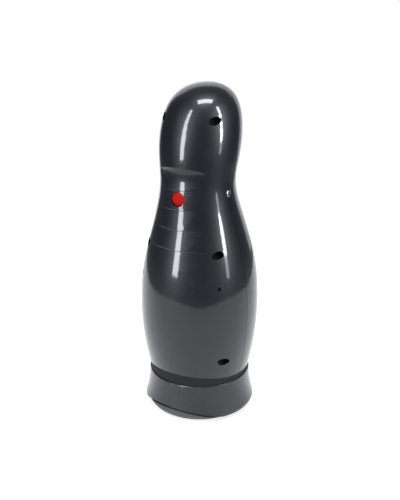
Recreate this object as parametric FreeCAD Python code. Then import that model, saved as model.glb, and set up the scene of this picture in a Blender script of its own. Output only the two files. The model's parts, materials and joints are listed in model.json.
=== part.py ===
import FreeCAD, Part
import math
import os
from FreeCAD import Vector

# A pin-shaped, cordless, hand-held vibrating unit that stands on a flared base.
# Millimetres. +Z is up, the front (with the button) faces -Y, and the origin is the centre of the
# foot's underside. The object is a mirror image of itself about the plane x = 0.

X = Vector(1, 0, 0)
Y = Vector(0, 1, 0)
Z = Vector(0, 0, 1)
FRONT = Vector(0, -1, 0)

# ---- Housing ---------------------------------------------------------------------------------
HEIGHT = 250.0
WALL = 2.8
# Control points of the outline: height, radius of the round section, lean of its centre to the back.
OUTLINE = [
    (33.0, 38.9, 0.0),
    (57.5, 44.6, 0.0),
    (90.8, 46.0, 0.0),
    (121.3, 42.9, 0.8),
    (151.9, 33.5, 0.4),
    (181.5, 25.3, -3.3),
    (203.3, 31.2, 0.3),
    (242.5, 28.2, 6.7),
    (HEIGHT, 10.5, 11.4),
    (HEIGHT, 0.0, 11.4),
]
BEYOND = 80.0  # reach of cutting solids, well outside the housing

SEAM_Y = -6.0  # the parting surface is upright up to SEAM_TURN_Z, then leans back on an arc
SEAM_TURN_Z = 165.0
SEAM_ARC_R = 208.0
TONGUE_DEPTH = 1.5
TONGUE_THICKNESS = 1.2
TONGUE_GAP = 0.1
REVEAL_HALF = 0.15  # the fine line where the shells meet is a shallow groove
REVEAL_DEPTH = 0.3

EDGE_Z = 34.5  # lower edge of the housing, arched up at the front
EDGE_ARCH_RISE = 4.9
EDGE_ARCH_HALF = 38.5

# ---- Grip ridges on the front of the neck ------------------------------------------------------
RIDGE_LOW_Z = 123.5
RIDGE_PITCH = 14.0
RIDGE_COUNT = 5
BROW_LOW_Z = 183.8  # the uppermost ridge ends under the head in a hollow face
BROW_TOP_Z = 195.6
BROW_DEPTH = 0.75
BROW_HOLLOW = 0.7
RIDGE_RAMP = 13.5  # height of the sloping face of a ridge; the rest of the pitch is a short step
RIDGE_DEPTH = 0.45
CREST_DEPTH = 0.06
RIDGE_AXIS_Y = 2.4  # the ridges turn about an axis behind the centre, so they fade out at the sides

# ---- Screws ------------------------------------------------------------------------------------
SHELL_SCREWS = [(20.8, 227.5), (29.5, 134.6), (34.8, 51.1)]  # sideways place and height of each pair
WELL_R = 2.9
WELL_BOSS_R = 4.6
SEAT_SETBACK = 8.0  # from the screw head's seat to the parting surface
SCREW_R = 1.45
SCREW_CLEARANCE_R = 1.6
PILOT_R = 1.5
POST_R = 4.0
POST_BORE = 10.0
HEAD_R = 2.7
HEAD_HEIGHT = 2.1
SHELL_SCREW_LENGTH = 16.0

PIN_X = 33.3
PIN_Z = 110.8
PIN_R = 1.2
PIN_HOLE_R = 1.3
PIN_SETBACK = 1.8
PIN_BOSS_R = 3.0
EAR_FRONT_Y = -12.0
EAR_BACK_Y = -2.0
EAR_HALF = 2.8

# ---- Base --------------------------------------------------------------------------------------
RING_TOP_Z = 29.8
RING_TOP_R = 39.4
RING_EDGE_R = 0.5
RING_WAIST = (40.3, 19.0)  # radius and height of a point on the hollow flank
RING_WIDE = (43.1, 6.2)
RING_LOW_R = 42.7
RING_LOW_Z = 3.65
RING_ARCH_RISE = 7.5
RING_ARCH_HALF = 36.0
RING_SEAT_R = 40.8  # inside radius round the foot
RING_FLANGE_T = 3.0
RING_FLANGE_R = 14.0
RING_WALL = 2.6

BAND_R_IN = 36.4
BAND_LOW_R = 38.6
BAND_HIGH_R = 39.6
BAND_TOP_Z = EDGE_Z + 6.0
LIP_R_IN = 33.2
LIP_OUTLINE = [(35.9, EDGE_Z), (37.6, EDGE_Z + 8.0), (35.0, EDGE_Z + 8.0)]

FOOT_R = 40.6
FOOT_FLAT_R = 36.6
FOOT_ROUND = (39.6, 2.2)  # radius and height of a point on the rounded rim
FOOT_SHOULDER_Z = 5.6
FOOT_BOTTOM_Z = 0.3
FOOT_TOP_Z = 12.5
FOOT_WALL = 2.6
FOOT_STEP_R = 39.2  # the wall steps back above a line that runs below the ring's arch
FOOT_STEP_Z = 7.9
FOOT_STEP_HALF = 34.0
PAD_R_IN = 27.5
PAD_R_OUT = 35.5
PAD_T = 1.5

FOOT_FLOOR_T = 3.0
BALLAST_R = 26.0
BALLAST_T = 12.0
BALLAST_CHAMFER = 1.0
BALLAST_RIM = (1.5, 0.1)  # thickness and play of the rim that holds the ballast

FOOT_SCREW_ANGLES = [90, 210, 330]
FOOT_SCREW_RADIUS = 31.5
FOOT_SEAT_Z = 4.0
FOOT_POST_Z = 8.0
FOOT_SCREW_LENGTH = 13.0
BASE_SCREW_ANGLES = [45, 135, 225, 315]
BASE_SCREW_RADIUS = 28.5
BASE_SCREW_LENGTH = 15.0
BASE_POST_TOP_Z = 58.0
BASE_RIB_Z = 47.0

# ---- Button and switch -------------------------------------------------------------------------
BUTTON_Z = 172.9
BUTTON_R = 5.05
BUTTON_FACE_Y = -29.85
BUTTON_DOME = 0.35
BUTTON_ROUND = 0.55
BUTTON_HOLE_R = 5.35
BUTTON_TRAVEL = 0.8
SHOULDER_Y = -27.3  # inner shoulder that stops the cap's flange
FLANGE_R = 6.7
FLANGE_T = 1.0
GUIDE_R = 9.0
GUIDE_BORE_R = 7.0
GUIDE_END_Y = -22.6
BOARD_FRONT_Y = -22.2
BOARD_T = 1.6
BOARD_BACK_Y = BOARD_FRONT_Y + BOARD_T
BOARD_HALF_WIDTH = 12.5
BOARD_Z = (138.0, 188.0)
BOARD_SCREW_Z = [143.0, 184.8]
BOARD_POST_R = 2.5
BOARD_SCREW_LENGTH = 5.0
BOARD_SCREW_R = 0.85
BOARD_HEAD_R = 1.6
BOARD_HEAD_HEIGHT = 1.1
BOARD_HOLE_R = 0.9
CONTROLLER = ((-4.0, 148.0), (4.0, 154.0), 1.8)  # low corner, high corner, thickness
CHARGER = ((4.0, 162.0), (9.0, 167.0), 1.6)
COIL = ((-7.5, 166.0), 3.2, 4.0)  # centre, radius, height
CAPACITOR = ((8.0, 145.0), 2.5, 6.0)
SWITCH_HALF = 3.0
SWITCH_T = 1.8
SWITCH_BACK_T = 0.4
PLUNGER_R = 1.5
PLUNGER_TOP_Y = BOARD_FRONT_Y - SWITCH_T - BUTTON_TRAVEL - 0.2
PLUNGER_LENGTH = BUTTON_TRAVEL + 0.5
STEM_R = 1.7
SPRING_R = 5.4
SPRING_WIRE_R = 0.3
SPRING_PITCH = 1.15
PLAY = 0.05  # gap between parts that slide or seat on each other

# ---- Charging socket ---------------------------------------------------------------------------
JACK_Z = 175.5
JACK_BORE_R = 1.75
JACK_RING_R = 2.5
JACK_BODY_X = (11.0, 22.5)
JACK_HALF = 5.0
JACK_BARREL_R = 3.2
JACK_BARREL_X = 23.8
JACK_DEPTH = 15.0
JACK_PROUD = 0.25
JACK_REST_X = (12.0, 21.0)
JACK_REST_HALF = 3.5

# ---- Battery -----------------------------------------------------------------------------------
CELL_R = 9.2
CELL_LENGTH = 65.0
CELL_X = 9.4
CELL_Z = 63.0
TRAY_HALF_WIDTH = 21.0
TRAY_WALL = 1.5
TRAY_PLATE = 2.5
TRAY_BACK_Y = 12.0
TRAY_FRONT_Y = -10.0
TRAY_SIDE_Y = -4.0
TRAY_REST_INSET = 8.0  # from the ends of the cells to the ribs behind the tray
CELL_ROUND = 0.8
LINK_HALF_LENGTH = 14.0
LINK_HALF_WIDTH = 3.5
LINK_T = 0.3
LINK_GAP = 0.1

# ---- Motor -------------------------------------------------------------------------------------
MOTOR_Y = 1.0
MOTOR_R = 13.85
MOTOR_Z = (186.0, 217.0)
MOTOR_CAN_T = 1.0
ENDCAP_T = 2.0
ENDCAP_PLUG = 2.5
BUSH_R = 3.2
BUSH_LENGTH = 4.0
SHAFT_R = 1.15
SHAFT_TOP_Z = 229.5
MAGNET_R_IN = 10.6
MAGNET_Z = (191.0, 211.0)
MAGNET_SPAN = 140
ARMATURE_R = 10.2
ARMATURE_Z = (193.0, 209.0)
ARMATURE_CORE_R = 4.2
SLOT_MOUTH_HALF = 1.1
SLOT_HALF = 3.2
SLOT_R = 7.8
COMMUTATOR_R = 3.4
WEIGHT_R = 11.0
WEIGHT_Z = (219.5, 228.5)
HUB_R = 3.6
SLEEVE_R = 16.5
SLEEVE_Z = (190.0, 211.0)
MOTOR_RIB_Z = [193.0, 206.0]
RIB_T = 2.0

# ---- Inner wires -------------------------------------------------------------------------------
WIRE_R = 0.6
BATTERY_LEAD_X = 2.0
BATTERY_LEAD_Y = 2.0
BATTERY_LEAD_TURN_Z = 157.5
MOTOR_LEAD_X = 3.0
MOTOR_LEAD_SETBACK = 4.0
MOTOR_LEAD_TURN_Z = 162.0
JACK_LEAD_HALF = 2.0
JACK_LEAD_TURN_X = 2.5


# ---- Basic shapes ------------------------------------------------------------------------------
def rod(start, direction, length, radius):
    return Part.makeCylinder(radius, length, start, direction)


def pipe(start, direction, length, outer, inner):
    return rod(start, direction, length, outer).cut(rod(start, direction, length, inner))


def block(low, high):
    size = Vector(*high) - Vector(*low)
    return Part.makeBox(size.x, size.y, size.z, Vector(*low))


def spun(points, centre=Vector(0, 0, 0)):
    """Solid of revolution about an upright axis; a third value in a point makes it an arc's middle."""
    edges = []
    corners = [p for p in points if len(p) == 2] + [points[0]]
    middle = {}
    for before, point in zip(points, points[1:]):
        if len(point) == 3:
            middle[before] = Vector(point[0], 0, point[1])
    for start, end in zip(corners, corners[1:]):
        first = Vector(start[0], 0, start[1])
        last = Vector(end[0], 0, end[1])
        if start in middle:
            edges.append(Part.Arc(first, middle[start], last).toShape())
        else:
            edges.append(Part.LineSegment(first, last).toShape())
    solid = Part.Face(Part.Wire(edges)).revolve(Vector(0, 0, 0), Z, 360)
    solid.translate(centre)
    return solid


def turned(shape, origin, direction):
    """The shape, made along +Z from zero, set at origin to run along direction."""
    placed = shape.copy()
    placed.Placement = FreeCAD.Placement(origin, FreeCAD.Rotation(Z, direction))
    return placed


def joined(shapes):
    whole = shapes[0]
    for shape in shapes[1:]:
        whole = whole.fuse(shape)
    return whole


def round_place(radius, angle, z):
    return Vector(radius * math.cos(math.radians(angle)), radius * math.sin(math.radians(angle)), z)


# ---- The housing's form ------------------------------------------------------------------------
def inset(outline, depth):
    """The outline moved inward by depth: each leg of its control polygon is moved, and they meet again."""
    legs = []
    for (z0, r0, _), (z1, r1, _) in zip(outline, outline[1:]):
        length = math.hypot(z1 - z0, r1 - r0)
        along = ((z1 - z0) / length, (r1 - r0) / length)
        legs.append(((z0 + along[1] * depth, r0 - along[0] * depth), along))
    (z, r), along = legs[0]
    places = [(outline[0][0], r + along[1] * (outline[0][0] - z) / along[0])]
    for ((z0, r0), a), ((z1, r1), b) in zip(legs, legs[1:]):
        cross = a[1] * b[0] - a[0] * b[1]
        step = ((r1 - r0) * b[0] - (z1 - z0) * b[1]) / cross
        places.append((z0 + step * a[0], r0 + step * a[1]))
    places.append((legs[-1][0][0], 0.0))
    return [(z, r, lean) for (z, r), (_, _, lean) in zip(places, outline)]


def spline_knots(outline):
    spans = len(outline) - 3
    return [4] + [1] * (spans - 1) + [4], list(range(spans + 1))


def round_body(outline):
    """Closed solid with exactly round level sections, from a rational spline surface."""
    poles = []
    weights = []
    for corner in range(9):
        angle = math.pi / 2 + corner * math.pi / 4
        reach = 1.0 if corner % 2 == 0 else math.sqrt(2)
        row = []
        for z, radius, lean in outline:
            row.append(Vector(reach * radius * math.cos(angle), lean + reach * radius * math.sin(angle), z))
        poles.append(row)
        weights.append([1.0 / reach] * len(outline))
    mults, knots = spline_knots(outline)
    surface = Part.BSplineSurface()
    surface.buildFromPolesMultsKnots(
        poles, [3, 2, 2, 2, 3], mults, [0, 1, 2, 3, 4], knots, False, False, 2, 3, weights
    )
    side = surface.toShape()
    rims = [edge for edge in side.Edges if edge.Length > 1]
    rim = min(rims, key=lambda edge: edge.BoundBox.ZMax)
    shell = Part.Shell([side, Part.Face(Part.Wire([rim.copy()]))])
    shell.sewShape()
    return Part.Solid(shell)


def profile_curve(side):
    """The outline's front (side = -1) or back (side = 1) line in the plane x = 0."""
    mults, knots = spline_knots(OUTLINE)
    curve = Part.BSplineCurve()
    poles = [Vector(0, lean + side * radius, z) for z, radius, lean in OUTLINE]
    curve.buildFromPolesMultsKnots(poles, mults, knots, False, 3)
    return curve


FRONT_LINE = profile_curve(-1)
BACK_LINE = profile_curve(1)


def level(z):
    """Radius and lean of the housing's round section at a height."""
    low = FRONT_LINE.FirstParameter
    high = FRONT_LINE.LastParameter
    for _ in range(40):
        middle = (low + high) / 2
        if FRONT_LINE.value(middle).z < z:
            low = middle
        else:
            high = middle
    front = FRONT_LINE.value(low).y
    back = BACK_LINE.value(low).y
    return (back - front) / 2, (back + front) / 2


def skin_y(x, z):
    """Where the front surface lies at a sideways place and a height."""
    radius, lean = level(z)
    return lean - math.sqrt(radius ** 2 - x ** 2)


def seam_y(z):
    if z <= SEAM_TURN_Z:
        return SEAM_Y
    return SEAM_Y + SEAM_ARC_R - math.sqrt(SEAM_ARC_R ** 2 - (z - SEAM_TURN_Z) ** 2)


def seam_side(front, shift=0.0):
    """The space in front of the parting surface, or behind it, moved back by shift."""
    top = HEIGHT + 10
    middle = (SEAM_TURN_Z + top) / 2
    outer_y = -BEYOND if front else BEYOND
    start = Vector(-BEYOND, SEAM_Y + shift, 0)
    turn = Vector(-BEYOND, SEAM_Y + shift, SEAM_TURN_Z)
    bow = Vector(-BEYOND, seam_y(middle) + shift, middle)
    end = Vector(-BEYOND, seam_y(top) + shift, top)
    edges = [
        Part.LineSegment(start, turn).toShape(),
        Part.Arc(turn, bow, end).toShape(),
        Part.LineSegment(end, Vector(-BEYOND, outer_y, top)).toShape(),
        Part.LineSegment(Vector(-BEYOND, outer_y, top), Vector(-BEYOND, outer_y, 0)).toShape(),
        Part.LineSegment(Vector(-BEYOND, outer_y, 0), start).toShape(),
    ]
    return Part.Face(Part.Wire(edges)).extrude(X * 2 * BEYOND)


def arch(low_z, rise, half_width, back_y):
    """The space below a level edge that is arched up in front of back_y."""
    radius = (half_width ** 2 + rise ** 2) / (2 * rise)
    bulge = rod(Vector(0, -BEYOND, low_z + rise - radius), Y, BEYOND + back_y, radius)
    return block((-BEYOND, -BEYOND, -BEYOND), (BEYOND, BEYOND, low_z)).fuse(bulge)


def ridge_form():
    """Turned form with the stepped grip on it, outside the housing everywhere else."""
    points = [(0.0, 0.0), (BEYOND, 0.0), (BEYOND, RIDGE_LOW_Z)]
    for count in range(RIDGE_COUNT):
        crest_z = RIDGE_LOW_Z + count * RIDGE_PITCH
        points.append((RIDGE_AXIS_Y - skin_y(0, crest_z) - CREST_DEPTH, crest_z))
        if count < RIDGE_COUNT - 1:
            trough_z = crest_z + RIDGE_RAMP
            points.append((RIDGE_AXIS_Y - skin_y(0, trough_z) - RIDGE_DEPTH, trough_z))
    low_r = RIDGE_AXIS_Y - skin_y(0, BROW_LOW_Z) - BROW_DEPTH
    top_r = RIDGE_AXIS_Y - skin_y(0, BROW_TOP_Z) + CREST_DEPTH
    points.append((low_r, BROW_LOW_Z))
    points.append(((low_r + top_r) / 2 - BROW_HOLLOW, (BROW_LOW_Z + BROW_TOP_Z) / 2, "arc"))
    points.append((top_r, BROW_TOP_Z))
    points += [(BEYOND, BROW_TOP_Z), (BEYOND, HEIGHT + 10), (0.0, HEIGHT + 10)]
    return spun(points, Vector(0, RIDGE_AXIS_Y, 0))


def reveal():
    """Shallow groove along the parting surface."""
    sheet = seam_side(False, -REVEAL_HALF).common(seam_side(True, REVEAL_HALF))
    return sheet.cut(round_body(inset(OUTLINE, REVEAL_DEPTH)))


BODY = round_body(OUTLINE).common(ridge_form()).cut(reveal())
CAVITY = round_body(inset(OUTLINE, WALL))
MID_WALL = round_body(inset(OUTLINE, WALL / 2))  # bosses, posts and ribs end inside the wall
BELOW_EDGE = arch(EDGE_Z, EDGE_ARCH_RISE, EDGE_ARCH_HALF, SEAM_Y)


# ---- Shells ------------------------------------------------------------------------------------
def base_post(angle):
    """Upright screw post inside the lower end of a shell, tied to the wall by a rib."""
    foot = round_place(BASE_SCREW_RADIUS, angle, RING_TOP_Z)
    post = rod(foot, Z, BASE_POST_TOP_Z - RING_TOP_Z, POST_R)
    rib = block((BASE_SCREW_RADIUS, -RIB_T / 2, BASE_RIB_Z), (BEYOND, RIB_T / 2, BASE_POST_TOP_Z))
    rib.rotate(Vector(0, 0, 0), Z, angle)
    return post.fuse(rib.common(MID_WALL))


def motor_ribs():
    """Level plates in the head with a round seat for the motor's sleeve."""
    plates = []
    for z in MOTOR_RIB_Z:
        plate = block((-BEYOND, -BEYOND, z), (BEYOND, BEYOND, z + RIB_T)).common(MID_WALL)
        plates.append(plate.cut(rod(Vector(0, MOTOR_Y, z), Z, RIB_T, SLEEVE_R)))
    return plates


def groove():
    """Strip along the parting surface that takes the rear shell's tongue."""
    outer = round_body(inset(OUTLINE, WALL - TONGUE_THICKNESS - TONGUE_GAP))
    strip = outer.cut(round_body(inset(OUTLINE, WALL + 2 * TONGUE_GAP)))
    return strip.common(seam_side(False, -TONGUE_DEPTH - TONGUE_GAP)).common(seam_side(True, 1.0))


def socket_hole():
    return rod(Vector(JACK_BARREL_X, seam_y(JACK_Z), JACK_Z), X, BEYOND, JACK_RING_R)


def make_front_shell():
    wall = BODY.common(seam_side(True)).cut(CAVITY).cut(BELOW_EDGE)

    inner = []
    for x, z in SHELL_SCREWS:
        for side in (-1, 1):
            boss = rod(Vector(side * x, -BEYOND, z), Y, BEYOND + seam_y(z), WELL_BOSS_R)
            inner.append(boss.common(MID_WALL))
    for side in (-1, 1):
        boss = rod(Vector(side * PIN_X, -BEYOND, PIN_Z), Y, BEYOND + EAR_FRONT_Y - TONGUE_GAP, PIN_BOSS_R)
        inner.append(boss.common(MID_WALL))
    inner.append(rod(Vector(0, -BEYOND, BUTTON_Z), Y, BEYOND + GUIDE_END_Y, GUIDE_R).common(MID_WALL))
    for z in BOARD_SCREW_Z:
        post = rod(Vector(0, -BEYOND, z), Y, BEYOND + BOARD_FRONT_Y, BOARD_POST_R)
        inner.append(post.common(MID_WALL))
    for angle in BASE_SCREW_ANGLES[2:]:
        inner.append(base_post(angle))
    inner += [plate.common(seam_side(True)) for plate in motor_ribs()]
    shell = joined([wall] + inner).cut(groove())

    holes = [socket_hole()]
    for x, z in SHELL_SCREWS:
        for side in (-1, 1):
            seat_y = seam_y(z) - SEAT_SETBACK
            holes.append(rod(Vector(side * x, -BEYOND, z), Y, BEYOND + seat_y, WELL_R))
            holes.append(rod(Vector(side * x, -BEYOND, z), Y, 2 * BEYOND, SCREW_CLEARANCE_R))
    for side in (-1, 1):
        holes.append(rod(Vector(side * PIN_X, -BEYOND, PIN_Z), Y, BEYOND, PIN_HOLE_R))
    holes.append(rod(Vector(0, -BEYOND, BUTTON_Z), Y, BEYOND, BUTTON_HOLE_R))
    holes.append(rod(Vector(0, SHOULDER_Y, BUTTON_Z), Y, BEYOND, GUIDE_BORE_R))
    for z in BOARD_SCREW_Z:
        holes.append(rod(Vector(0, BOARD_BACK_Y - BOARD_SCREW_LENGTH, z), Y, BEYOND, BOARD_HOLE_R))
    for angle in BASE_SCREW_ANGLES[2:]:
        holes.append(rod(round_place(BASE_SCREW_RADIUS, angle, 0), Z, BASE_POST_TOP_Z - WALL, PILOT_R))
    return shell.cut(holes[0].multiFuse(holes[1:]))


def make_rear_shell():
    wall = BODY.common(seam_side(False))
    tongue = round_body(inset(OUTLINE, WALL - TONGUE_THICKNESS)).common(seam_side(False, -TONGUE_DEPTH))
    wall = wall.fuse(tongue).cut(CAVITY).cut(BELOW_EDGE)

    inner = []
    for x, z in SHELL_SCREWS:
        for side in (-1, 1):
            inner.append(rod(Vector(side * x, seam_y(z), z), Y, BEYOND, POST_R).common(MID_WALL))
    for angle in BASE_SCREW_ANGLES[:2]:
        inner.append(base_post(angle))
    for z in (CELL_Z + TRAY_REST_INSET, CELL_Z + CELL_LENGTH - TRAY_REST_INSET):
        rest = block((-TRAY_HALF_WIDTH, TRAY_BACK_Y, z), (TRAY_HALF_WIDTH, BEYOND, z + RIB_T))
        inner.append(rest.common(MID_WALL))
    low_corner = (JACK_REST_X[0], seam_y(JACK_Z) + JACK_HALF, JACK_Z - JACK_REST_HALF)
    jack_rest = block(low_corner, (JACK_REST_X[1], BEYOND, JACK_Z + JACK_REST_HALF))
    inner.append(jack_rest.common(MID_WALL))
    inner += [plate.common(seam_side(False)) for plate in motor_ribs()]
    shell = joined([wall] + inner)

    holes = [socket_hole()]
    for x, z in SHELL_SCREWS:
        for side in (-1, 1):
            holes.append(rod(Vector(side * x, seam_y(z) - 1, z), Y, POST_BORE + 1, PILOT_R))
    for angle in BASE_SCREW_ANGLES[:2]:
        holes.append(rod(round_place(BASE_SCREW_RADIUS, angle, 0), Z, BASE_POST_TOP_Z - WALL, PILOT_R))
    return shell.cut(holes[0].multiFuse(holes[1:]))


# ---- Screws and pins ---------------------------------------------------------------------------
def pan_screw(length, shank_r, head_r, head_height):
    """Screw along +Z with its head's underside at zero, and a cross recess in the head."""
    crown = head_r * 0.35
    head = spun([
        (0.0, 0.0), (head_r, 0.0), (head_r, -head_height * 0.45),
        (head_r * 0.86, -head_height * 0.85, "arc"), (crown + head_r * 0.2, -head_height),
        (0.0, -head_height),
    ])
    tip = shank_r * 1.2
    shank = spun([(0.0, 0.0), (shank_r, 0.0), (shank_r, length - tip), (0.3, length), (0.0, length)])
    slot = head_r * 0.48
    blade = head_r * 0.11
    recess_low = -head_height - 1
    recess_high = -head_height * 0.4
    cross = block((-slot, -blade, recess_low), (slot, blade, recess_high))
    cross = cross.fuse(block((-blade, -slot, recess_low), (blade, slot, recess_high)))
    return head.fuse(shank).cut(cross)


def make_shell_screws():
    screw = pan_screw(SHELL_SCREW_LENGTH, SCREW_R, HEAD_R, HEAD_HEIGHT)
    screws = []
    for x, z in SHELL_SCREWS:
        for side in (-1, 1):
            screws.append(turned(screw, Vector(side * x, seam_y(z) - SEAT_SETBACK, z), Y))
    return Part.makeCompound(screws)


def make_tray_pins():
    start_y = skin_y(PIN_X, PIN_Z) + PIN_SETBACK
    length = EAR_BACK_Y - 1 - start_y
    return Part.makeCompound([rod(Vector(side * PIN_X, start_y, PIN_Z), Y, length, PIN_R) for side in (-1, 1)])


def make_board_screws():
    screw = pan_screw(BOARD_SCREW_LENGTH, BOARD_SCREW_R, BOARD_HEAD_R, BOARD_HEAD_HEIGHT)
    return Part.makeCompound([turned(screw, Vector(0, BOARD_BACK_Y, z), FRONT) for z in BOARD_SCREW_Z])


def make_base_screws():
    screw = pan_screw(BASE_SCREW_LENGTH, SCREW_R, HEAD_R, HEAD_HEIGHT)
    seat_z = RING_TOP_Z - RING_FLANGE_T
    return Part.makeCompound(
        [turned(screw, round_place(BASE_SCREW_RADIUS, angle, seat_z), Z) for angle in BASE_SCREW_ANGLES]
    )


def make_foot_screws():
    screw = pan_screw(FOOT_SCREW_LENGTH, SCREW_R, HEAD_R, HEAD_HEIGHT)
    return Part.makeCompound(
        [turned(screw, round_place(FOOT_SCREW_RADIUS, angle, FOOT_SEAT_Z), Z) for angle in FOOT_SCREW_ANGLES]
    )


# ---- Base --------------------------------------------------------------------------------------
def make_collar_band():
    """Rubber ring: a visible band under the shells' edge and a lip inside the shells."""
    band = spun([
        (BAND_R_IN, RING_TOP_Z), (BAND_LOW_R, RING_TOP_Z), (BAND_HIGH_R, BAND_TOP_Z), (BAND_R_IN, BAND_TOP_Z),
    ])
    lip = spun([(LIP_R_IN, RING_TOP_Z), (BAND_R_IN, RING_TOP_Z)] + LIP_OUTLINE + [(LIP_R_IN, EDGE_Z)])
    return band.common(BELOW_EDGE).fuse(lip).removeSplitter()


def below_front_arch(top_z):
    """The space below an arch over the table, with the curve of the ring's front arch."""
    radius = (RING_ARCH_HALF ** 2 + RING_ARCH_RISE ** 2) / (2 * RING_ARCH_RISE)
    return arch(0.0, top_z, math.sqrt(top_z * (2 * radius - top_z)), 0.0)


def make_base_ring():
    inner_top_z = RING_TOP_Z - RING_FLANGE_T
    inner_r = RING_TOP_R - RING_WALL
    seat_top_z = FOOT_TOP_Z + 0.5
    edge_middle = RING_EDGE_R * (1 - math.sqrt(0.5))
    ring = spun([
        (RING_FLANGE_R, RING_TOP_Z), (RING_TOP_R - RING_EDGE_R, RING_TOP_Z),
        (RING_TOP_R - edge_middle, RING_TOP_Z - edge_middle, "arc"), (RING_TOP_R, RING_TOP_Z - RING_EDGE_R),
        RING_WAIST + ("arc",), RING_WIDE,
        (RING_WIDE[0] - 0.05, RING_WIDE[1] - 1.6, "arc"), (RING_LOW_R, RING_LOW_Z),
        (RING_SEAT_R, RING_LOW_Z), (RING_SEAT_R, seat_top_z), (inner_r + 1.2, seat_top_z),
        (inner_r, inner_top_z), (RING_FLANGE_R, inner_top_z),
    ])
    posts = []
    post_height = inner_top_z - FOOT_POST_Z
    for angle in FOOT_SCREW_ANGLES:
        posts.append(rod(round_place(FOOT_SCREW_RADIUS, angle, FOOT_POST_Z), Z, post_height, POST_R))
    ring = joined([ring] + posts)
    holes = []
    for angle in FOOT_SCREW_ANGLES:
        holes.append(rod(round_place(FOOT_SCREW_RADIUS, angle, FOOT_POST_Z), Z, POST_BORE, PILOT_R))
    for angle in BASE_SCREW_ANGLES:
        holes.append(rod(round_place(BASE_SCREW_RADIUS, angle, 0), Z, BEYOND, SCREW_CLEARANCE_R))
    ring = ring.cut(holes[0].multiFuse(holes[1:]))
    return ring.cut(below_front_arch(RING_LOW_Z + RING_ARCH_RISE))


def make_foot():
    floor_top_z = FOOT_BOTTOM_Z + FOOT_FLOOR_T
    cup = spun([
        (0.0, FOOT_BOTTOM_Z), (FOOT_FLAT_R, FOOT_BOTTOM_Z), FOOT_ROUND + ("arc",), (FOOT_R, FOOT_SHOULDER_Z),
        (FOOT_R, FOOT_TOP_Z), (FOOT_R - FOOT_WALL, FOOT_TOP_Z), (FOOT_R - FOOT_WALL, floor_top_z),
        (0.0, floor_top_z),
    ])
    bosses = []
    boss_low_z = FOOT_BOTTOM_Z + 1
    for angle in FOOT_SCREW_ANGLES:
        place = round_place(FOOT_SCREW_RADIUS, angle, boss_low_z)
        bosses.append(rod(place, Z, FOOT_POST_Z - boss_low_z, WELL_BOSS_R))
    rim_wall, rim_play = BALLAST_RIM
    rim_in = BALLAST_R + rim_play
    rim = pipe(Vector(0, 0, floor_top_z - 1), Z, 3.0, rim_in + rim_wall, rim_in)
    cup = joined([cup, rim] + bosses)
    holes = [pipe(Vector(0, 0, 0), Z, PAD_T, PAD_R_OUT, PAD_R_IN)]
    for angle in FOOT_SCREW_ANGLES:
        holes.append(rod(round_place(FOOT_SCREW_RADIUS, angle, 0), Z, FOOT_SEAT_Z, WELL_R))
        holes.append(rod(round_place(FOOT_SCREW_RADIUS, angle, 0), Z, FOOT_POST_Z, SCREW_CLEARANCE_R))
    step = pipe(Vector(0, 0, 0), Z, FOOT_TOP_Z + 1, BEYOND, FOOT_STEP_R)
    step = step.common(block((-FOOT_STEP_HALF, -BEYOND, 0), (FOOT_STEP_HALF, 0, BEYOND)))
    holes.append(step.cut(below_front_arch(FOOT_STEP_Z)))
    return cup.cut(holes[0].multiFuse(holes[1:]))


def make_foot_pad():
    return pipe(Vector(0, 0, 0), Z, PAD_T, PAD_R_OUT, PAD_R_IN)


def make_ballast():
    disc = rod(Vector(0, 0, FOOT_BOTTOM_Z + FOOT_FLOOR_T), Z, BALLAST_T, BALLAST_R)
    rims = [edge for edge in disc.Edges if edge.Closed]
    return disc.makeChamfer(BALLAST_CHAMFER, rims)


# ---- Button, switch and board ------------------------------------------------------------------
def make_button_cap():
    """Cap made along +Z from the centre of its domed face, then turned to face the front."""
    shoulder = SHOULDER_Y - BUTTON_FACE_Y + PLAY
    stem_end = PLUNGER_TOP_Y - BUTTON_FACE_Y - PLAY
    cap = spun([
        (0.0, 0.0), (BUTTON_R / 2, BUTTON_DOME / 4, "arc"), (BUTTON_R - BUTTON_ROUND, BUTTON_DOME),
        (BUTTON_R - 0.25 * BUTTON_ROUND, BUTTON_DOME + 0.35 * BUTTON_ROUND, "arc"),
        (BUTTON_R, BUTTON_DOME + BUTTON_ROUND), (BUTTON_R, shoulder), (FLANGE_R, shoulder),
        (FLANGE_R, shoulder + FLANGE_T), (STEM_R, shoulder + FLANGE_T), (STEM_R, stem_end), (0.0, stem_end),
    ])
    return turned(cap, Vector(0, BUTTON_FACE_Y, BUTTON_Z), Y)


def make_button_spring():
    low = SPRING_WIRE_R + PLAY
    flange_back_y = SHOULDER_Y + FLANGE_T + PLAY
    height = BOARD_FRONT_Y - flange_back_y - 2 * low
    helix = Part.makeHelix(SPRING_PITCH, height, SPRING_R)
    start = Part.Wire(Part.makeCircle(SPRING_WIRE_R, Vector(SPRING_R, 0, 0), Y))
    coil = Part.Wire(helix).makePipeShell([start], True, True)
    return turned(coil, Vector(0, flange_back_y + low, BUTTON_Z), Y)


def make_switch_body():
    front_y = BOARD_FRONT_Y - SWITCH_T
    low_corner = (-SWITCH_HALF, front_y, BUTTON_Z - SWITCH_HALF)
    body = block(low_corner, (SWITCH_HALF, BOARD_FRONT_Y, BUTTON_Z + SWITCH_HALF))
    bore = rod(Vector(0, front_y, BUTTON_Z), Y, SWITCH_T - SWITCH_BACK_T, PLUNGER_R + PLAY)
    return body.cut(bore)


def make_switch_plunger():
    return rod(Vector(0, PLUNGER_TOP_Y, BUTTON_Z), Y, PLUNGER_LENGTH, PLUNGER_R)


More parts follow.
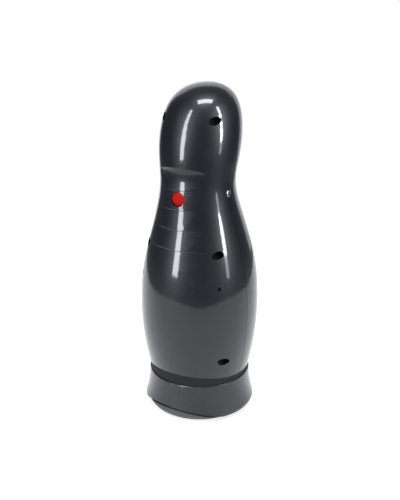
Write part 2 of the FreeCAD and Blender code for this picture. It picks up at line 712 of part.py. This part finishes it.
def make_control_board():
    low_z, high_z = BOARD_Z
    parts = [block((-BOARD_HALF_WIDTH, BOARD_FRONT_Y, low_z), (BOARD_HALF_WIDTH, BOARD_BACK_Y, high_z))]
    for (low_x, low_z), (high_x, high_z), thickness in (CONTROLLER, CHARGER):
        parts.append(block((low_x, BOARD_BACK_Y, low_z), (high_x, BOARD_BACK_Y + thickness, high_z)))
    for (x, z), radius, height in (COIL, CAPACITOR):
        parts.append(rod(Vector(x, BOARD_BACK_Y, z), Y, height, radius))
    board = joined(parts)
    for z in BOARD_SCREW_Z:
        board = board.cut(rod(Vector(0, BOARD_FRONT_Y, z), Y, BOARD_T, BOARD_HOLE_R))
    return board


# ---- Charging socket ---------------------------------------------------------------------------
def jack_mouth_x():
    radius, lean = level(JACK_Z)
    return math.sqrt(radius ** 2 - (seam_y(JACK_Z) - lean) ** 2) + JACK_PROUD


def make_charge_jack():
    y = seam_y(JACK_Z)
    low_x, high_x = JACK_BODY_X
    body = block((low_x, y - JACK_HALF, JACK_Z - JACK_HALF), (high_x, y + JACK_HALF, JACK_Z + JACK_HALF))
    barrel = rod(Vector(high_x - 1, y, JACK_Z), X, JACK_BARREL_X - high_x + 1, JACK_BARREL_R)
    bore = rod(Vector(jack_mouth_x() - JACK_DEPTH, y, JACK_Z), X, JACK_DEPTH, JACK_BORE_R)
    return body.fuse(barrel).removeSplitter().cut(bore)


def make_jack_ring():
    y = seam_y(JACK_Z)
    length = jack_mouth_x() - JACK_BARREL_X
    ring = pipe(Vector(JACK_BARREL_X, y, JACK_Z), X, length, JACK_RING_R - 0.02, JACK_BORE_R)
    rims = [edge for edge in ring.Edges if edge.Closed and edge.BoundBox.XMin > jack_mouth_x() - 0.01]
    outer = max(rims, key=lambda edge: edge.Length)
    return ring.makeFillet(0.2, [outer])


# ---- Battery -----------------------------------------------------------------------------------
def make_battery_tray():
    low_z = CELL_Z - LINK_T - 2 * LINK_GAP
    high_z = CELL_Z + CELL_LENGTH + LINK_T + 2 * LINK_GAP
    bottom_z = low_z - TRAY_PLATE
    top_z = high_z + TRAY_PLATE
    wide = TRAY_HALF_WIDTH
    parts = [
        block((-wide, TRAY_BACK_Y - TRAY_WALL, bottom_z), (wide, TRAY_BACK_Y, top_z)),
        block((-wide, TRAY_FRONT_Y, bottom_z), (wide, TRAY_BACK_Y, low_z)),
        block((-wide, TRAY_FRONT_Y, high_z), (wide, TRAY_BACK_Y, top_z)),
    ]
    for side in (-1, 1):
        inner_x, outer_x = sorted((side * (wide - TRAY_WALL), side * wide))
        parts.append(block((inner_x, TRAY_SIDE_Y, bottom_z), (outer_x, TRAY_BACK_Y, top_z)))
        near_x, far_x = sorted((side * (wide - TRAY_WALL), side * (PIN_X + EAR_HALF)))
        parts.append(block((near_x, EAR_FRONT_Y, PIN_Z - EAR_HALF), (far_x, EAR_BACK_Y, PIN_Z + EAR_HALF)))
    tray = joined(parts)
    for side in (-1, 1):
        tray = tray.cut(rod(Vector(side * PIN_X, EAR_FRONT_Y, PIN_Z), Y, BEYOND, PIN_R + PLAY))
    return tray


def make_battery_cells():
    cells = []
    for side in (-1, 1):
        cell = rod(Vector(side * CELL_X, 0, CELL_Z), Z, CELL_LENGTH, CELL_R)
        cells.append(cell.makeFillet(CELL_ROUND, [edge for edge in cell.Edges if edge.Closed]))
    return Part.makeCompound(cells)


def make_cell_links():
    low_z = CELL_Z - LINK_GAP - LINK_T
    high_z = CELL_Z + CELL_LENGTH + LINK_GAP
    half = (LINK_HALF_LENGTH, LINK_HALF_WIDTH)
    return Part.makeCompound(
        [block((-half[0], -half[1], z), (half[0], half[1], z + LINK_T)) for z in (low_z, high_z)]
    )


# ---- Motor -------------------------------------------------------------------------------------
def on_axis(z):
    return Vector(0, MOTOR_Y, z)


def make_motor_can():
    low, high = MOTOR_Z
    can = rod(on_axis(low), Z, high - low, MOTOR_R)
    can = can.cut(rod(on_axis(low), Z, high - low - MOTOR_CAN_T, MOTOR_R - MOTOR_CAN_T))
    return can.cut(rod(on_axis(low), Z, high, BUSH_R))


def make_motor_endcap():
    low = MOTOR_Z[0]
    plate = rod(on_axis(low - ENDCAP_T), Z, ENDCAP_T, MOTOR_R)
    plug = rod(on_axis(low), Z, ENDCAP_PLUG, MOTOR_R - MOTOR_CAN_T - PLAY)
    return plate.fuse(plug).removeSplitter().cut(rod(on_axis(low - BEYOND), Z, 2 * BEYOND, BUSH_R))


def make_motor_bushes():
    lower = pipe(on_axis(MOTOR_Z[0] - ENDCAP_T + 0.5), Z, BUSH_LENGTH, BUSH_R, SHAFT_R + PLAY)
    upper = pipe(on_axis(MOTOR_Z[1] + 0.5 - BUSH_LENGTH), Z, BUSH_LENGTH, BUSH_R, SHAFT_R + PLAY)
    return Part.makeCompound([lower, upper])


def make_motor_magnets():
    low, high = MAGNET_Z
    magnets = []
    for start in (20, 200):
        outer = Part.makeCylinder(MOTOR_R - MOTOR_CAN_T, high - low, on_axis(low), Z, MAGNET_SPAN)
        magnet = outer.cut(rod(on_axis(low), Z, high - low, MAGNET_R_IN))
        magnet.rotate(on_axis(low), Z, start)
        magnets.append(magnet)
    return Part.makeCompound(magnets)


def make_motor_shaft():
    low = MOTOR_Z[0] - ENDCAP_T + 0.6
    return rod(on_axis(low), Z, SHAFT_TOP_Z - low, SHAFT_R)


def make_motor_armature():
    """Three-pole core on the shaft."""
    low, high = ARMATURE_Z
    core = pipe(on_axis(low), Z, high - low, ARMATURE_R, SHAFT_R)
    for angle in (30, 150, 270):
        mouth = block((0, -SLOT_MOUTH_HALF, low), (ARMATURE_R + 1, SLOT_MOUTH_HALF, high))
        slot = mouth.fuse(block((ARMATURE_CORE_R, -SLOT_HALF, low), (SLOT_R, SLOT_HALF, high)))
        slot = slot.cut(rod(Vector(0, 0, low), Z, high - low, ARMATURE_CORE_R))
        slot.rotate(Vector(0, 0, 0), Z, angle)
        slot.translate(Vector(0, MOTOR_Y, 0))
        core = core.cut(slot)
    return core


def make_motor_commutator():
    low = MOTOR_Z[0] + ENDCAP_PLUG + 0.8
    return pipe(on_axis(low), Z, ARMATURE_Z[0] - low, COMMUTATOR_R, SHAFT_R)


def make_eccentric_weight():
    low, high = WEIGHT_Z
    half_disc = Part.makeCylinder(WEIGHT_R, high - low, on_axis(low), Z, 180)
    hub = rod(on_axis(low), Z, high - low, HUB_R)
    return half_disc.fuse(hub).removeSplitter().cut(rod(on_axis(low), Z, high - low, SHAFT_R))


def make_motor_sleeve():
    low, high = SLEEVE_Z
    return pipe(on_axis(low), Z, high - low, SLEEVE_R, MOTOR_R)


# ---- Inner wires -------------------------------------------------------------------------------
def wire(points):
    """Round wire along straight runs joined by one arc at each corner between them."""
    start = points[0]
    edges = []
    for before, corner, after in zip(points, points[1:], points[2:]):
        into = corner - before
        out = after - corner
        reach = 0.45 * min(into.Length, out.Length)
        into.normalize()
        out.normalize()
        first = corner - into * reach
        last = corner + out * reach
        radius = reach / math.tan(into.getAngle(out) / 2)
        inward = out - into
        inward.normalize()
        to_centre = math.hypot(radius, reach)
        middle = corner + inward * (to_centre - radius)
        edges.append(Part.LineSegment(start, first).toShape())
        edges.append(Part.Arc(first, middle, last).toShape())
        start = last
    edges.append(Part.LineSegment(start, points[-1]).toShape())
    path = Part.Wire(edges)
    section = Part.Wire(Part.makeCircle(WIRE_R, points[0], points[1] - points[0]))
    return path.makePipeShell([section], True, False)


def wire_pair(route):
    return Part.makeCompound([wire([Vector(*point) for point in route(side)]) for side in (-1, 1)])


def make_battery_leads():
    tray_top = CELL_Z + CELL_LENGTH + LINK_T + 2 * LINK_GAP + TRAY_PLATE
    return wire_pair(lambda side: [
        (side * BATTERY_LEAD_X, BATTERY_LEAD_Y, tray_top),
        (side * BATTERY_LEAD_X, BATTERY_LEAD_Y, BATTERY_LEAD_TURN_Z),
        (side * BATTERY_LEAD_X, BOARD_BACK_Y, BATTERY_LEAD_TURN_Z),
    ])


def make_motor_leads():
    low = MOTOR_Z[0] - ENDCAP_T
    y = MOTOR_Y + MOTOR_LEAD_SETBACK
    return wire_pair(lambda side: [
        (side * MOTOR_LEAD_X, y, low), (side * MOTOR_LEAD_X, y, MOTOR_LEAD_TURN_Z),
        (side * MOTOR_LEAD_X, BOARD_BACK_Y, MOTOR_LEAD_TURN_Z),
    ])


def make_jack_leads():
    y = seam_y(JACK_Z)
    return wire_pair(lambda side: [
        (JACK_BODY_X[0], y, JACK_Z + side * JACK_LEAD_HALF),
        (JACK_LEAD_TURN_X, y, JACK_Z + side * JACK_LEAD_HALF),
        (JACK_LEAD_TURN_X, BOARD_BACK_Y, JACK_Z + side * JACK_LEAD_HALF),
    ])


MAKERS = [
    make_front_shell, make_rear_shell, make_shell_screws, make_tray_pins,
    make_collar_band, make_base_ring, make_base_screws, make_foot, make_foot_screws, make_foot_pad,
    make_ballast, make_button_cap, make_button_spring, make_switch_body, make_switch_plunger,
    make_control_board, make_board_screws, make_charge_jack, make_jack_ring, make_battery_tray,
    make_battery_cells, make_cell_links, make_motor_can, make_motor_endcap, make_motor_bushes,
    make_motor_magnets, make_motor_shaft, make_motor_armature, make_motor_commutator,
    make_eccentric_weight, make_motor_sleeve, make_battery_leads, make_motor_leads, make_jack_leads,
]

os.makedirs("parts", exist_ok=True)
for maker in MAKERS:
    node = maker.__name__.replace("make_", "", 1)
    shape = maker()
    shape.exportStep("parts/" + node + ".step")
    print(node, len(shape.Solids), "solid", "valid" if shape.isValid() else "NOT VALID", round(shape.Volume, 1))
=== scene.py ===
import json
import math

import bpy
from mathutils import Euler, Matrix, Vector


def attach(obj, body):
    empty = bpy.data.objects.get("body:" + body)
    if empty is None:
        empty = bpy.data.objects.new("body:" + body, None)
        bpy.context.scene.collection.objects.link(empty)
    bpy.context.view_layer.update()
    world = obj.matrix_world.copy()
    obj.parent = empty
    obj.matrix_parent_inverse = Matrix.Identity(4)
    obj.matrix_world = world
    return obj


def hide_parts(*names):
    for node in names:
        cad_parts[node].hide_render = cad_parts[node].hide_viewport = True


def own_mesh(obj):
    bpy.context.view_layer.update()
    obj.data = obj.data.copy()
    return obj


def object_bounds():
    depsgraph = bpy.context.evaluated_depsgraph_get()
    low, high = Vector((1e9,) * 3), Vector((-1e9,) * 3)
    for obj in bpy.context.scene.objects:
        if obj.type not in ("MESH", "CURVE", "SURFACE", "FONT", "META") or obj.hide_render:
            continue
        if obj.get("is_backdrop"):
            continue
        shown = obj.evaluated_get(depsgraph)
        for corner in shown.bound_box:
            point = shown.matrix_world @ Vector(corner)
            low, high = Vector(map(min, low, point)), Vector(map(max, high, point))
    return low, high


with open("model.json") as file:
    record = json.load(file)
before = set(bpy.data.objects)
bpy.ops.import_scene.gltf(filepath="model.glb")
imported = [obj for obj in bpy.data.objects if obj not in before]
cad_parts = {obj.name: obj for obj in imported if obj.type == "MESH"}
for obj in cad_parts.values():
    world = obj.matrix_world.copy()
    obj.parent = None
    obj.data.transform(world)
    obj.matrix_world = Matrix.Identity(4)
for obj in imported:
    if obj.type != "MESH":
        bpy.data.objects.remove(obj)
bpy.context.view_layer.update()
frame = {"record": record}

# Studio, in metres, degrees and radiance. Azimuths go round from -Y towards +X.
VIEW_AZIMUTH = math.radians(30.84)
VIEW_DISTANCE = 0.5174
VIEW_HEIGHT = 0.316
VIEW_DOWN = 20.19
LENS_MM = 52.3
LENS_SHIFT = 0.001
RIGHT = Vector((math.cos(VIEW_AZIMUTH), math.sin(VIEW_AZIMUTH), 0))
AHEAD = Vector((-math.sin(VIEW_AZIMUTH), math.cos(VIEW_AZIMUTH), 0))
UP = Vector((0, 0, 1))
FLOOR_HALF_WIDTH = 0.42
FLOOR_NEAR = -0.36
FLOOR_FAR = 0.5
FLOOR_CORNER = 0.3
FLOOR_GLOW = 0.75
CORNER_STEPS = 8
LIGHT_TINT = (0.93, 0.95, 1.0)
STRIP_DISTANCE = 1.0
STRIPS = [  # name, azimuth, lowest and highest point, width, radiance
    ("left_strip", -18.7, 0.09, 1.5, 0.2, 23.0),
    ("right_strip", 86.5, 0.22, 1.5, 0.13, 44.0),
    ("right_strip_end", 86.5, 0.05, 0.22, 0.1, 9.0),
]
TOP_PLACE = RIGHT * 0.03 - AHEAD * 0.2 + UP * 1.45
WALL_AIM = RIGHT * 0.13 + UP * 0.33
WALL_DISTANCE = 0.5

# ---- Materials ---------------------------------------------------------------------------------
# Noise scales are per metre of the object's own space, relief heights in metres.


class Graph:
    def __init__(self, name):
        self.material = bpy.data.materials.new(name)
        self.material.use_nodes = True
        self.nodes = self.material.node_tree.nodes
        self.links = self.material.node_tree.links
        self.shader = self.nodes["Principled BSDF"]
        self.coord = self.nodes.new("ShaderNodeTexCoord").outputs["Object"]

    def set(self, socket, value):
        self.shader.inputs[socket].default_value = value

    def plug(self, output, socket):
        self.links.new(output, self.shader.inputs[socket])

    def stretched(self, scale, turn=(0.0, 0.0, 0.0)):
        node = self.nodes.new("ShaderNodeMapping")
        node.inputs["Scale"].default_value = scale
        node.inputs["Rotation"].default_value = turn
        self.links.new(self.coord, node.inputs["Vector"])
        return node.outputs["Vector"]

    def noise(self, scale, detail=4.0, roughness=0.55, place=None):
        node = self.nodes.new("ShaderNodeTexNoise")
        node.inputs["Scale"].default_value = scale
        node.inputs["Detail"].default_value = detail
        node.inputs["Roughness"].default_value = roughness
        self.links.new(place or self.coord, node.inputs["Vector"])
        return node.outputs["Fac"]

    def specks(self, scale, size):
        """One inside small scattered dots, zero elsewhere."""
        node = self.nodes.new("ShaderNodeTexVoronoi")
        node.inputs["Scale"].default_value = scale
        self.links.new(self.coord, node.inputs["Vector"])
        return self.span(node.outputs["Distance"], 0.0, size, 1.0, 0.0)

    def span(self, value, low, high, to_low, to_high):
        node = self.nodes.new("ShaderNodeMapRange")
        for name, number in zip(("From Min", "From Max", "To Min", "To Max"), (low, high, to_low, to_high)):
            node.inputs[name].default_value = number
        self.links.new(value, node.inputs["Value"])
        return node.outputs["Result"]

    def both(self, first, second, how="ADD"):
        node = self.nodes.new("ShaderNodeMath")
        node.operation = how
        self.links.new(first, node.inputs[0])
        self.links.new(second, node.inputs[1])
        return node.outputs[0]

    def ramp(self, value, stops):
        node = self.nodes.new("ShaderNodeValToRGB")
        for _ in stops[2:]:
            node.color_ramp.elements.new(0.5)
        for element, (place, colour) in zip(node.color_ramp.elements, stops):
            element.position = place
            element.color = (*colour, 1)
        self.links.new(value, node.inputs["Fac"])
        return node.outputs["Color"]

    def height(self):
        node = self.nodes.new("ShaderNodeSeparateXYZ")
        self.links.new(self.coord, node.inputs[0])
        return node.outputs["Z"]

    def relief(self, layers):
        """Chained bumps; each layer is (height value, relief in metres, strength)."""
        normal = None
        for value, distance, strength in layers:
            node = self.nodes.new("ShaderNodeBump")
            node.inputs["Distance"].default_value = distance
            node.inputs["Strength"].default_value = strength
            self.links.new(value, node.inputs["Height"])
            if normal:
                self.links.new(normal, node.inputs["Normal"])
            normal = node.outputs["Normal"]
        self.plug(normal, "Normal")
        return normal


def shade(colour, factor):
    return tuple(min(1.0, part * factor) for part in colour)


def gloss_plastic(name, colour, rough, coat, scuffs):
    """Polished moulding: flow marks, hairlines, dust, and scuffs that gather near the base."""
    g = Graph(name)
    drift = g.noise(28.0, 5.0)
    hairs = g.noise(1.0, 6.0, 0.7, g.stretched((2600.0, 2600.0, 55.0), (0.3, 0.15, 0.0)))
    dust = g.specks(420.0, 0.045)
    low = g.span(g.height(), 0.0, 0.05, scuffs, 0.0)
    marks = g.both(g.span(g.noise(210.0, 8.0, 0.7), 0.56, 0.7, 0.0, 1.0), low, "MULTIPLY")
    tone = g.both(g.both(drift, g.span(dust, 0.0, 1.0, 0.0, 0.25)), g.span(marks, 0.0, 1.0, 0.0, 0.5))
    g.plug(g.ramp(tone, [(0.3, shade(colour, 0.85)), (0.65, shade(colour, 1.15)), (1.0, shade(colour, 3.0))]),
           "Base Color")
    hair_rough = g.span(hairs, 0.62, 0.8, 0.0, 0.12)
    g.plug(g.both(g.span(drift, 0.3, 0.7, rough - 0.04, rough + 0.04), hair_rough), "Roughness")
    g.plug(g.both(g.span(drift, 0.3, 0.7, coat[1] - 0.01, coat[1] + 0.015), g.span(marks, 0.0, 1.0, 0.0, 0.3)),
           "Coat Roughness")
    g.set("Coat Weight", coat[0])
    g.set("Coat IOR", 1.38)
    g.set("Specular IOR Level", 0.3)
    grain = g.noise(1500.0, 3.0)
    peel = g.noise(170.0, 2.0)
    normal = g.relief([(peel, 0.00001, 0.5), (grain, 0.000003, 0.35), (marks, 0.00001, 0.4)])
    g.plug(normal, "Coat Normal")
    return g.material


def matte_plastic(name, colour, rough, relief=0.00003, specular=0.5):
    """Fine spark-eroded texture with slight colour drift and rubbed patches."""
    g = Graph(name)
    drift = g.noise(60.0, 4.0)
    texture = g.noise(2400.0, 2.0)
    rubbed = g.span(g.noise(140.0, 6.0, 0.65), 0.58, 0.72, 0.0, 1.0)
    tone = g.both(drift, g.span(texture, 0.3, 0.7, -0.12, 0.12))
    g.plug(g.ramp(tone, [(0.25, shade(colour, 0.82)), (0.5, colour), (0.8, shade(colour, 1.18))]), "Base Color")
    g.plug(g.both(g.span(texture, 0.3, 0.7, rough - 0.05, rough + 0.05), g.span(rubbed, 0.0, 1.0, 0.0, -0.1)),
           "Roughness")
    g.set("Specular IOR Level", specular)
    g.relief([(texture, relief, 0.5), (g.noise(300.0), relief, 0.2)])
    return g.material


def rubber(name, colour, rough=0.75):
    """Soft moulding with a bloom of dust in its pores."""
    g = Graph(name)
    pores = g.specks(1300.0, 0.35)
    bloom = g.noise(90.0, 7.0, 0.7)
    g.plug(g.ramp(g.both(bloom, g.span(pores, 0.0, 1.0, 0.0, 0.1)),
                  [(0.3, shade(colour, 0.8)), (0.55, colour), (0.85, shade(colour, 1.5))]), "Base Color")
    g.plug(g.span(bloom, 0.3, 0.7, rough - 0.08, rough + 0.08), "Roughness")
    g.set("Specular IOR Level", 0.35)
    g.relief([(pores, 0.00002, 0.3), (g.noise(2000.0, 3.0), 0.00002, 0.5)])
    return g.material


def metal(name, colour, rough, brush=(40.0, 40.0, 3000.0), stain=0.25):
    """Drawn or turned metal: lay lines, tarnish clouds and small pits."""
    g = Graph(name)
    lay = g.noise(1.0, 4.0, 0.6, g.stretched(brush))
    cloud = g.noise(180.0, 6.0, 0.65)
    pits = g.specks(900.0, 0.12)
    dark = shade(colour, 1.0 - stain)
    tone = g.both(cloud, g.span(lay, 0.3, 0.7, -0.08, 0.08))
    g.plug(g.ramp(tone, [(0.3, dark), (0.55, colour), (0.8, shade(colour, 1.08))]), "Base Color")
    g.plug(g.both(g.span(lay, 0.3, 0.7, rough - 0.06, rough + 0.06), g.span(cloud, 0.4, 0.7, 0.0, 0.1)),
           "Roughness")
    g.set("Metallic", 1.0)
    g.relief([(lay, 0.000008, 0.4), (pits, -0.00001, 0.4)])
    return g.material


def laminate(name, colour):
    """Board lacquer with copper tracks showing through as paler lines."""
    g = Graph(name)
    weave = g.noise(1.0, 2.0, 0.5, g.stretched((1800.0, 200.0, 1800.0)))
    tracks = g.nodes.new("ShaderNodeTexBrick")
    tracks.inputs["Scale"].default_value = 160.0
    tracks.inputs["Mortar Size"].default_value = 0.06
    g.links.new(g.stretched((1.0, 1.0, 1.0), (math.pi / 2, 0.0, 0.0)), tracks.inputs["Vector"])
    line = tracks.outputs["Fac"]
    g.plug(g.ramp(g.both(line, g.span(weave, 0.3, 0.7, -0.1, 0.1)),
                  [(0.0, shade(colour, 0.8)), (0.4, colour), (1.0, shade(colour, 1.8))]), "Base Color")
    g.plug(g.span(weave, 0.3, 0.7, 0.3, 0.45), "Roughness")
    g.relief([(line, 0.00003, 0.5), (weave, 0.00001, 0.4)])
    return g.material


def film(name, colour):
    """Shrink film: glossy, faintly wrinkled along its length."""
    g = Graph(name)
    wrinkle = g.noise(1.0, 5.0, 0.6, g.stretched((500.0, 500.0, 60.0)))
    g.plug(g.ramp(wrinkle, [(0.3, shade(colour, 0.8)), (0.7, shade(colour, 1.2))]), "Base Color")
    g.plug(g.span(wrinkle, 0.3, 0.7, 0.18, 0.34), "Roughness")
    g.relief([(wrinkle, 0.00005, 0.5), (g.noise(1600.0), 0.000005, 0.4)])
    return g.material


SLOTS = {
    "shell_plastic": gloss_plastic("shell_plastic", (0.008, 0.0083, 0.0135), 0.42, (1.0, 0.075), 0.15),
    "base_plastic": gloss_plastic("base_plastic", (0.0095, 0.0098, 0.015), 0.42, (1.0, 0.09), 0.5),
    "button_plastic": matte_plastic("button_plastic", (0.72, 0.006, 0.004), 0.6, 0.00003, 0.1),
    "inner_plastic": matte_plastic("inner_plastic", (0.03, 0.03, 0.032), 0.55),
    "board_laminate": laminate("board_laminate", (0.02, 0.14, 0.05)),
    "cell_wrap": film("cell_wrap", (0.05, 0.16, 0.38)),
    "magnet_ferrite": matte_plastic("magnet_ferrite", (0.045, 0.045, 0.05), 0.6, 0.00005),
    "collar_rubber": rubber("collar_rubber", (0.006, 0.006, 0.008)),
    "pad_rubber": rubber("pad_rubber", (0.02, 0.02, 0.021), 0.82),
    "wire_cover": rubber("wire_cover", (0.4, 0.03, 0.025), 0.5),
    "screw_steel": metal("screw_steel", (0.1, 0.1, 0.11), 0.35, (60.0, 3000.0, 60.0), 0.4),
    "spring_steel": metal("spring_steel", (0.55, 0.55, 0.56), 0.28),
    "motor_steel": metal("motor_steel", (0.5, 0.5, 0.51), 0.32),
    "ballast_steel": metal("ballast_steel", (0.32, 0.32, 0.33), 0.42, (40.0, 40.0, 2200.0), 0.4),
    "bush_bronze": metal("bush_bronze", (0.5, 0.33, 0.14), 0.45, (900.0, 900.0, 900.0), 0.35),
    "bright_metal": metal("bright_metal", (0.72, 0.72, 0.74), 0.28, (2000.0, 60.0, 60.0), 0.12),
}


def finish_node(node, material):
    materials = bpy.data.objects[node].data.materials
    materials.clear()
    materials.append(material)


for part in frame["record"]["subparts"]:
    finish_node(part["node"], SLOTS[part["material_slot"]])

# The foot is given a paler colour without the ring's gloss, as a painted reflection of the bright floor below
# the ring's arch; the ring's arch shows it.
finish_node("foot", matte_plastic("foot_paler_painted_reflection", (0.08, 0.08, 0.086), 0.45))

# ---- Return spring: the real one shortens against the board as the button is pressed; here the coil is copied onto its own mesh and attached to the housing ---
coil = bpy.data.objects["button_spring"]
spring = bpy.data.objects.new("return_spring", coil.data.copy())
bpy.context.collection.objects.link(spring)
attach(spring, "housing")
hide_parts("button_spring")
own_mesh(spring)

# ---- Stage -------------------------------------------------------------------------------------


def sheet(name, half_width, near, far, corner):
    """Flat sheet on z = 0 with round corners, square to the camera."""
    points = []
    centres = [(half_width - corner, far - corner), (corner - half_width, far - corner),
               (corner - half_width, near + corner), (half_width - corner, near + corner)]
    for quarter, (across, deep) in enumerate(centres):
        for step in range(CORNER_STEPS + 1):
            angle = math.pi / 2 * (quarter + step / CORNER_STEPS)
            sideways = across + corner * math.cos(angle)
            points.append(RIGHT * sideways + AHEAD * (deep + corner * math.sin(angle)))
    mesh = bpy.data.meshes.new(name)
    mesh.from_pydata(points, [], [range(len(points))])
    piece = bpy.data.objects.new(name, mesh)
    bpy.context.collection.objects.link(piece)
    return piece


floor = sheet("floor", FLOOR_HALF_WIDTH, FLOOR_NEAR, FLOOR_FAR, FLOOR_CORNER)
paper = Graph("floor_paper")
pulp = paper.noise(60.0, 3.0)
paper.plug(paper.ramp(pulp, [(0.3, (0.48, 0.48, 0.48)), (0.7, (0.52, 0.52, 0.52))]), "Base Color")
paper.plug(paper.span(pulp, 0.3, 0.7, 0.85, 0.95), "Roughness")
paper.set("Specular IOR Level", 0.0)
paper.set("Emission Color", (1, 1, 1, 1))
paper.set("Emission Strength", FLOOR_GLOW)
floor.data.materials.append(paper.material)
floor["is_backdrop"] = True

world = bpy.data.worlds.new("studio")
bpy.context.scene.world = world
world.use_nodes = True
nodes = world.node_tree.nodes
links = world.node_tree.links
white = nodes["Background"]
white.inputs["Color"].default_value = (1, 1, 1, 1)
dim = nodes.new("ShaderNodeBackground")
dim.inputs["Color"].default_value = (0.05, 0.055, 0.066, 1)
seen = nodes.new("ShaderNodeLightPath").outputs["Is Camera Ray"]
mix = nodes.new("ShaderNodeMixShader")
links.new(seen, mix.inputs[0])
links.new(dim.outputs[0], mix.inputs[1])
links.new(white.outputs[0], mix.inputs[2])
links.new(mix.outputs[0], nodes["World Output"].inputs[0])


def panel(name, place, aim, width, height, radiance, reflected=True, diffuse=True):
    """Soft rectangular light with an even radiance, unseen by the camera."""
    light = bpy.data.lights.new(name, "AREA")
    light.shape = "RECTANGLE"
    light.size = width
    light.size_y = height
    light.energy = radiance * math.pi * width * height
    light.color = LIGHT_TINT
    holder = bpy.data.objects.new(name, light)
    holder.location = place
    holder.rotation_euler = (aim - place).to_track_quat("-Z", "Y").to_euler()
    holder.visible_camera = False
    holder.visible_glossy = reflected
    holder.visible_diffuse = diffuse
    bpy.context.collection.objects.link(holder)
    return holder


for name, azimuth, low, high, width, radiance in STRIPS:
    angle = math.radians(azimuth)
    out = Vector((math.sin(angle), -math.cos(angle), 0)) * STRIP_DISTANCE
    middle_z = UP * ((low + high) / 2)
    panel(name, out + middle_z, middle_z, width, high - low, radiance, diffuse=False)
top = panel("top_panel", TOP_PLACE, TOP_PLACE - UP, 0.67, 0.28, 25.0, diffuse=False)
top.rotation_euler = (0, 0, VIEW_AZIMUTH)
panel("back_wall", AHEAD * WALL_DISTANCE + WALL_AIM, WALL_AIM, 0.9, 0.66, 1.0)
panel("ceiling", UP * 1.7, UP, 3.0, 3.0, 2.0, reflected=False)
panel("front_fill", AHEAD * -1.0 + UP * 0.6, UP * 0.15, 1.0, 0.8, 1.5, reflected=False)

# ---- Camera ------------------------------------------------------------------------------------
lens = bpy.data.cameras.new("camera")
lens.lens = LENS_MM
lens.sensor_width = 36
lens.shift_x = LENS_SHIFT
camera = bpy.data.objects.new("camera", lens)
camera.location = AHEAD * -VIEW_DISTANCE + UP * VIEW_HEIGHT
camera.rotation_euler = Euler((math.radians(90 - VIEW_DOWN), 0, VIEW_AZIMUTH))
bpy.context.collection.objects.link(camera)
bpy.context.scene.camera = camera
bpy.context.scene.view_settings.view_transform = "Standard"

low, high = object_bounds()
